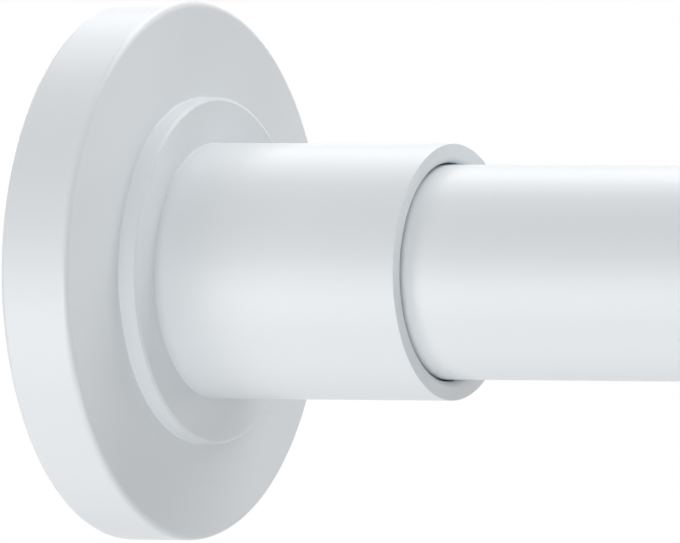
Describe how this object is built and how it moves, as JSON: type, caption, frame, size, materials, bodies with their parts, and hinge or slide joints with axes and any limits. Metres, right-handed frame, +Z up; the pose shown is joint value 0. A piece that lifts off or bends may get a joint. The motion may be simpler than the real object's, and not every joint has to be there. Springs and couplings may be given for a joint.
{
  "type": "spring tension rod",
  "caption": "Telescoping round tension rod with a round wall flange at each end, a twist lock and an inner spring that press the flanges against two facing walls.",
  "frame": {"origin": "centre of the left pad's wall face", "axes": "+X along the rod from the left wall to the right wall, +Z up"},
  "size_m": [0.6096, 0.064, 0.064],
  "materials": {
    "flange_plastic": "white moulded plastic, soft gloss",
    "tube_paint": "white powder coat, soft gloss",
    "collar_plastic": "white moulded plastic, soft gloss",
    "pad_rubber": "pale soft rubber, matt",
    "plug_plastic": "natural moulded plastic",
    "lock_plastic": "black moulded nylon",
    "plated_steel": "bright zinc plate",
    "spring_steel": "drawn spring wire"
  },
  "bodies": {
    "left_foot": {"left_flange": "flange_plastic", "left_wall_pad": "pad_rubber"},
    "outer_tube": {"outer_tube": "tube_paint", "mouth_collar": "collar_plastic", "left_tube_plug": "plug_plastic", "left_pivot_screw": "plated_steel", "left_screw_washer": "plated_steel"},
    "lock_sleeve": {"expander_sleeve": "lock_plastic"},
    "lock_cone": {"expander_cone": "lock_plastic"},
    "plunger": {"spindle": "plated_steel", "stop_nut": "plated_steel", "piston": "lock_plastic", "piston_nut": "plated_steel"},
    "inner_tube": {"inner_tube": "tube_paint", "guide_bush": "lock_plastic", "tension_spring": "spring_steel", "spring_stop": "lock_plastic", "right_tube_plug": "plug_plastic", "right_pivot_screw": "plated_steel", "right_screw_washer": "plated_steel"},
    "right_foot": {"right_flange": "flange_plastic", "right_wall_pad": "pad_rubber"}
  },
  "joints": [
    {"name": "left_swivel", "type": "hinge", "parent": "left_foot", "child": "outer_tube", "pos_m": [0, 0, 0], "axis": [1, 0, 0], "continuous": true},
    {"name": "length_adjust", "type": "slide", "parent": "outer_tube", "child": "lock_sleeve", "axis": [1, 0, 0], "range_m": [0, 0.3048]},
    {"name": "lock_twist", "type": "hinge", "parent": "lock_sleeve", "child": "plunger", "pos_m": [0.08, 0, 0], "axis": [1, 0, 0], "range_deg": [-720, 0]},
    {"name": "cone_draw", "type": "slide", "parent": "lock_sleeve", "child": "lock_cone", "axis": [1, 0, 0], "range_m": [0, 0.003]},
    {"name": "spring_travel", "type": "slide", "parent": "plunger", "child": "inner_tube", "axis": [1, 0, 0], "range_m": [-0.025, 0], "stiffness_N_per_m": 3000, "springref_m": 0.01, "deforming": ["tension_spring"]},
    {"name": "right_swivel", "type": "hinge", "parent": "inner_tube", "child": "right_foot", "pos_m": [0.6096, 0, 0], "axis": [1, 0, 0], "continuous": true}
  ],
  "couplings": [
    {"joint": "cone_draw", "follows": "lock_twist", "m_per_rad": -0.00023873}
  ]
}
